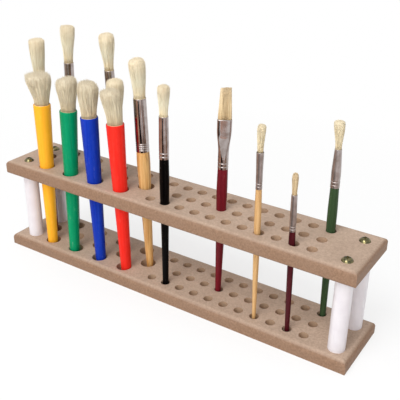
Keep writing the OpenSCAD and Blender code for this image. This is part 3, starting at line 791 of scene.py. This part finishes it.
def timber(name, pale, honey, dark, amount):
    """Clear-lacquered wood: honey bands and dark streaks drawn out along the handle, with fine pores.
    amount is how strongly the streaks show."""
    net = Surface(name, Roughness=0.34, Specular_IOR_Level=0.2)
    grain = net.effect(STREAK)
    figure = net.noise(net.stretch(net.place, (150, 150, 7)), 1.0, 4.0, 0.6, 1.6)
    tone = net.mix(net.ramp(grain["Broad"], 0.35, 0.65), pale, honey)
    tone = net.mix(net.ramp(figure, 0.54, 0.66, 0.0, amount), tone, dark)
    tone = net.mix(net.ramp(grain["Fine"], 0.56, 0.7, 0.0, 0.45), tone, dark)
    rough = net.ramp(grain["Fine"], 0.3, 0.7, 0.22, 0.4)
    return net.finish(tone, rough, grain["Fine"], 0.18, 0.00012)


def drawn_metal(name, dull=0.0):
    """Nickelled brass tube: fine rings round it from polishing and cloudy tarnish; dull is added to its
    roughness."""
    net = Surface(name, Metallic=1.0, Roughness=0.2)
    rings = net.noise(net.stretch(net.place, (30, 30, 1500)), 1.0, 2.0)
    stain = net.noise(net.place, 140.0, 3.0)
    tone = net.mix(net.ramp(stain, 0.4, 0.7), rgb(178, 168, 165), rgb(150, 137, 131))
    rough = net.add(net.ramp(rings, 0.3, 0.7, dull + 0.07, dull + 0.13), net.ramp(stain, 0.5, 0.8, 0.0, 0.08))
    return net.finish(tone, rough, rings, 0.08, 0.00008)


def hair(name, root, middle, tip, dark, strength):
    """Bristle: each strand has its own tone, the colour drifts from root to tip, and fine lines run along
    the tuft. strength is how much of the dark colour shows."""
    net = Surface(name, Roughness=0.55, Specular_IOR_Level=0.3)
    tone = net.node("ShaderNodeAttribute", attribute_name="tone").outputs["Fac"]
    along = net.node("ShaderNodeAttribute", attribute_name="along").outputs["Fac"]
    grain = net.effect(STREAK)
    low = net.mix(net.ramp(along, 0.0, 0.45), root, middle)
    colour = net.mix(net.ramp(along, 0.55, 1.0), low, tip)
    colour = net.mix(net.ramp(tone, 0.0, 0.55, strength, 0.0), colour, dark)
    colour = net.mix(net.ramp(grain["Broad"], 0.5, 0.75, 0.0, strength), colour, dark)
    colour = net.mix(net.ramp(grain["Lock"], 0.5, 0.62, 0.0, 0.12 + strength), colour, dark)
    colour = net.mix(net.ramp(grain["Lock"], 0.5, 0.4, 0.0, 0.4), colour, tip)
    rough = net.ramp(tone, 0.0, 1.0, 0.42, 0.66)
    return net.finish(colour, rough, grain["Fine"], 0.3, 0.0002)


FINISH = {
    "yellow": moulded("yellow", rgb(248, 178, 48), rgb(242, 166, 36)),
    "green": moulded("green", rgb(3, 145, 96), rgb(0, 131, 85)),
    "blue": moulded("blue", rgb(18, 57, 173), rgb(10, 43, 154)),
    "red": moulded("red", rgb(236, 48, 36), rgb(226, 38, 28)),
    "maroon": lacquered("maroon_lacquer", rgb(118, 24, 36), rgb(92, 16, 26)),
    "wine": lacquered("wine_lacquer", rgb(80, 20, 28), rgb(60, 13, 20)),
    "black": lacquered("black_lacquer", rgb(9, 7, 7), rgb(5, 4, 4), 0.05),
    "green_lacquer": lacquered("green_lacquer", rgb(62, 84, 54), rgb(46, 66, 42)),
    "timber": timber("timber", rgb(232, 190, 128), rgb(204, 150, 86), rgb(120, 72, 34), 0.75),
    "pale_timber": timber("pale_timber", rgb(214, 174, 122), rgb(198, 152, 97), rgb(150, 98, 52), 0.35),
    "ferrule": drawn_metal("ferrule"),
    "dull_ferrule": drawn_metal("dull_ferrule", 0.26),
    "bristle": hair("bristle", rgb(249, 231, 191), rgb(255, 250, 226), rgb(240, 227, 200),
                    rgb(214, 189, 149), 0.2),
    "fine": hair("fine_bristle", rgb(226, 206, 166), rgb(236, 222, 188), rgb(234, 222, 194),
                 rgb(204, 177, 137), 0.12),
    "golden": hair("golden_bristle", rgb(211, 184, 139), rgb(230, 207, 166), rgb(228, 207, 171),
                   rgb(174, 143, 103), 0.34),
    "worn": hair("worn_bristle", rgb(231, 209, 167), rgb(245, 234, 206), rgb(227, 216, 192),
                 rgb(188, 166, 134), 0.3),
}

# ---------------------------------------------------------------- carried-over nodes

CARRIED = {"board": fibreboard(), "post": white_lacquer(), "screw": plated_screw()}
for label, piece in nodes.items():
    for word, finish in CARRIED.items():
        if word in label:
            for slot in piece.material_slots:
                slot.material = finish

# ---------------------------------------------------------------- brushes

for label in STUBS:
    stub_handle(label)
for n, (label, stub) in enumerate(STUBS.items()):
    round_tuft(label, stub.tuft, STUB_L, STUB_L - STUB_SOCKET + 0.1, STUB_SOCKET_D - 0.2, stub.bristles,
               100 + 7 * n, FINISH["worn"], stub.lobes)

for n, (label, brush) in enumerate(LONG.items()):
    long_handle(label)
    if label == "flat":
        flat_ferrule()
        flat_tuft()
        continue
    round_ferrule(label)
    ferrule = brush.ferrule
    mouth_inner = ferrule.mouth_d - 2 * WALL - HAIR_ROOM
    tuft = brush.tuft._replace(mouth_d=min(brush.tuft.mouth_d, mouth_inner))
    root_d = min(ferrule.foot_d - 2 * WALL - TENON_ROOM, mouth_inner)
    big = tuft.belly_d > BIG_TUFT
    finish = FINISH["bristle" if big else "golden" if label == "short" else "fine"]
    round_tuft(label, tuft, ferrule.mouth, ferrule.foot + TENON, root_d, COARSE if big else SOFT,
               300 + 11 * n, finish)

# ---------------------------------------------------------------- floor, light

FLOOR_HALF, CARD_Z = 6, 0.001  # metres
RACK_MIDDLE = (0, 0, 0.12)


def sheet(name, finish, x0, y0, x1, y1, z):
    """A flat rectangle facing up."""
    mesh = bpy.data.meshes.new(name)
    mesh.from_pydata([(x0, y0, z), (x1, y0, z), (x1, y1, z), (x0, y1, z)], [], [(0, 1, 2, 3)])
    mesh.materials.append(finish)
    piece = link(name, mesh)
    return piece


def seen_rays(net):
    """1 for the rays that show a background: from the camera and from reflecting and clear surfaces."""
    rays = net.node("ShaderNodeLightPath").outputs
    mirrored = net.math("MAXIMUM", rays["Is Glossy Ray"], rays["Is Transmission Ray"])
    return net.math("MAXIMUM", rays["Is Camera Ray"], mirrored)


def floor_finish():
    """Pale and matt, so that it keeps the rack's shadow, and plain white further out for the rays that show
    a background."""
    net = Surface("floor", Base_Color=(0.93, 0.93, 0.93, 1), Roughness=0.9, Specular_IOR_Level=0.1)
    away = net.node("ShaderNodeVectorMath", {0: net.place}, operation="LENGTH").outputs["Value"]
    white = net.node("ShaderNodeEmission", {"Color": (1, 1, 1, 1), "Strength": 1.0}).outputs[0]
    share = net.times(seen_rays(net), net.ramp(away, 0.0, 0.7, 0.6, 1.0))
    net.show(net.node("ShaderNodeMixShader", {0: share, 1: net.shader.outputs[0], 2: white}).outputs[0])
    return net.material


def card(name, colour, x0, y0, x1, y1):
    """A coloured card on the floor that only reflections show."""
    made = bpy.data.materials.new(name)
    made.use_nodes = True
    net = Net(made.node_tree)
    net.show(net.node("ShaderNodeEmission", {"Color": colour, "Strength": 1.0}).outputs[0])
    piece = sheet(name, made, x0, y0, x1, y1, CARD_Z)
    piece.visible_camera = piece.visible_diffuse = piece.visible_shadow = piece.visible_transmission = False


def lamp(name, place, size, power):
    """A square lamp that points at the middle of the rack."""
    data = bpy.data.lights.new(name, "AREA")
    data.shape, data.size, data.energy = "SQUARE", size, power
    way = np.array(RACK_MIDDLE, float) - np.array(place, float)
    back = -way / np.linalg.norm(way)
    right = np.cross([0, 0, 1], back)
    right /= np.linalg.norm(right)
    link(name, data).matrix_world = axes_matrix(right, np.cross(back, right), back, place)


sheet("floor", floor_finish(), -FLOOR_HALF, -FLOOR_HALF, FLOOR_HALF, FLOOR_HALF, 0)
card("brown_card", rgb(222, 178, 154), -0.90, -0.80, -0.05, -0.10)
card("black_card", rgb(16, 12, 14), -0.05, -0.80, 0.22, -0.16)
card("tan_card", rgb(212, 190, 182), 0.24, -0.235, 0.75, 0.05)
card("front_card", rgb(198, 174, 164), 0.22, -0.46, 0.40, -0.235)
card("far_card", rgb(226, 184, 164), 0.30, -0.64, 0.52, -0.49)
lamp("key", (-0.15, -1.35, 2.15), 1.1, 30)
lamp("fill", (0.4, -1.6, 1.0), 1.2, 12)

world = bpy.data.worlds.new("world")
scene.world = world
world.use_nodes = True
background = world.node_tree.nodes["Background"]
background.inputs["Color"].default_value = (1, 1, 1, 1)
net = Net(world.node_tree)
net.feed(net.ramp(seen_rays(net), 0, 1, 0.62, 1.0), background.inputs["Strength"])
scene.view_settings.view_transform = "Standard"
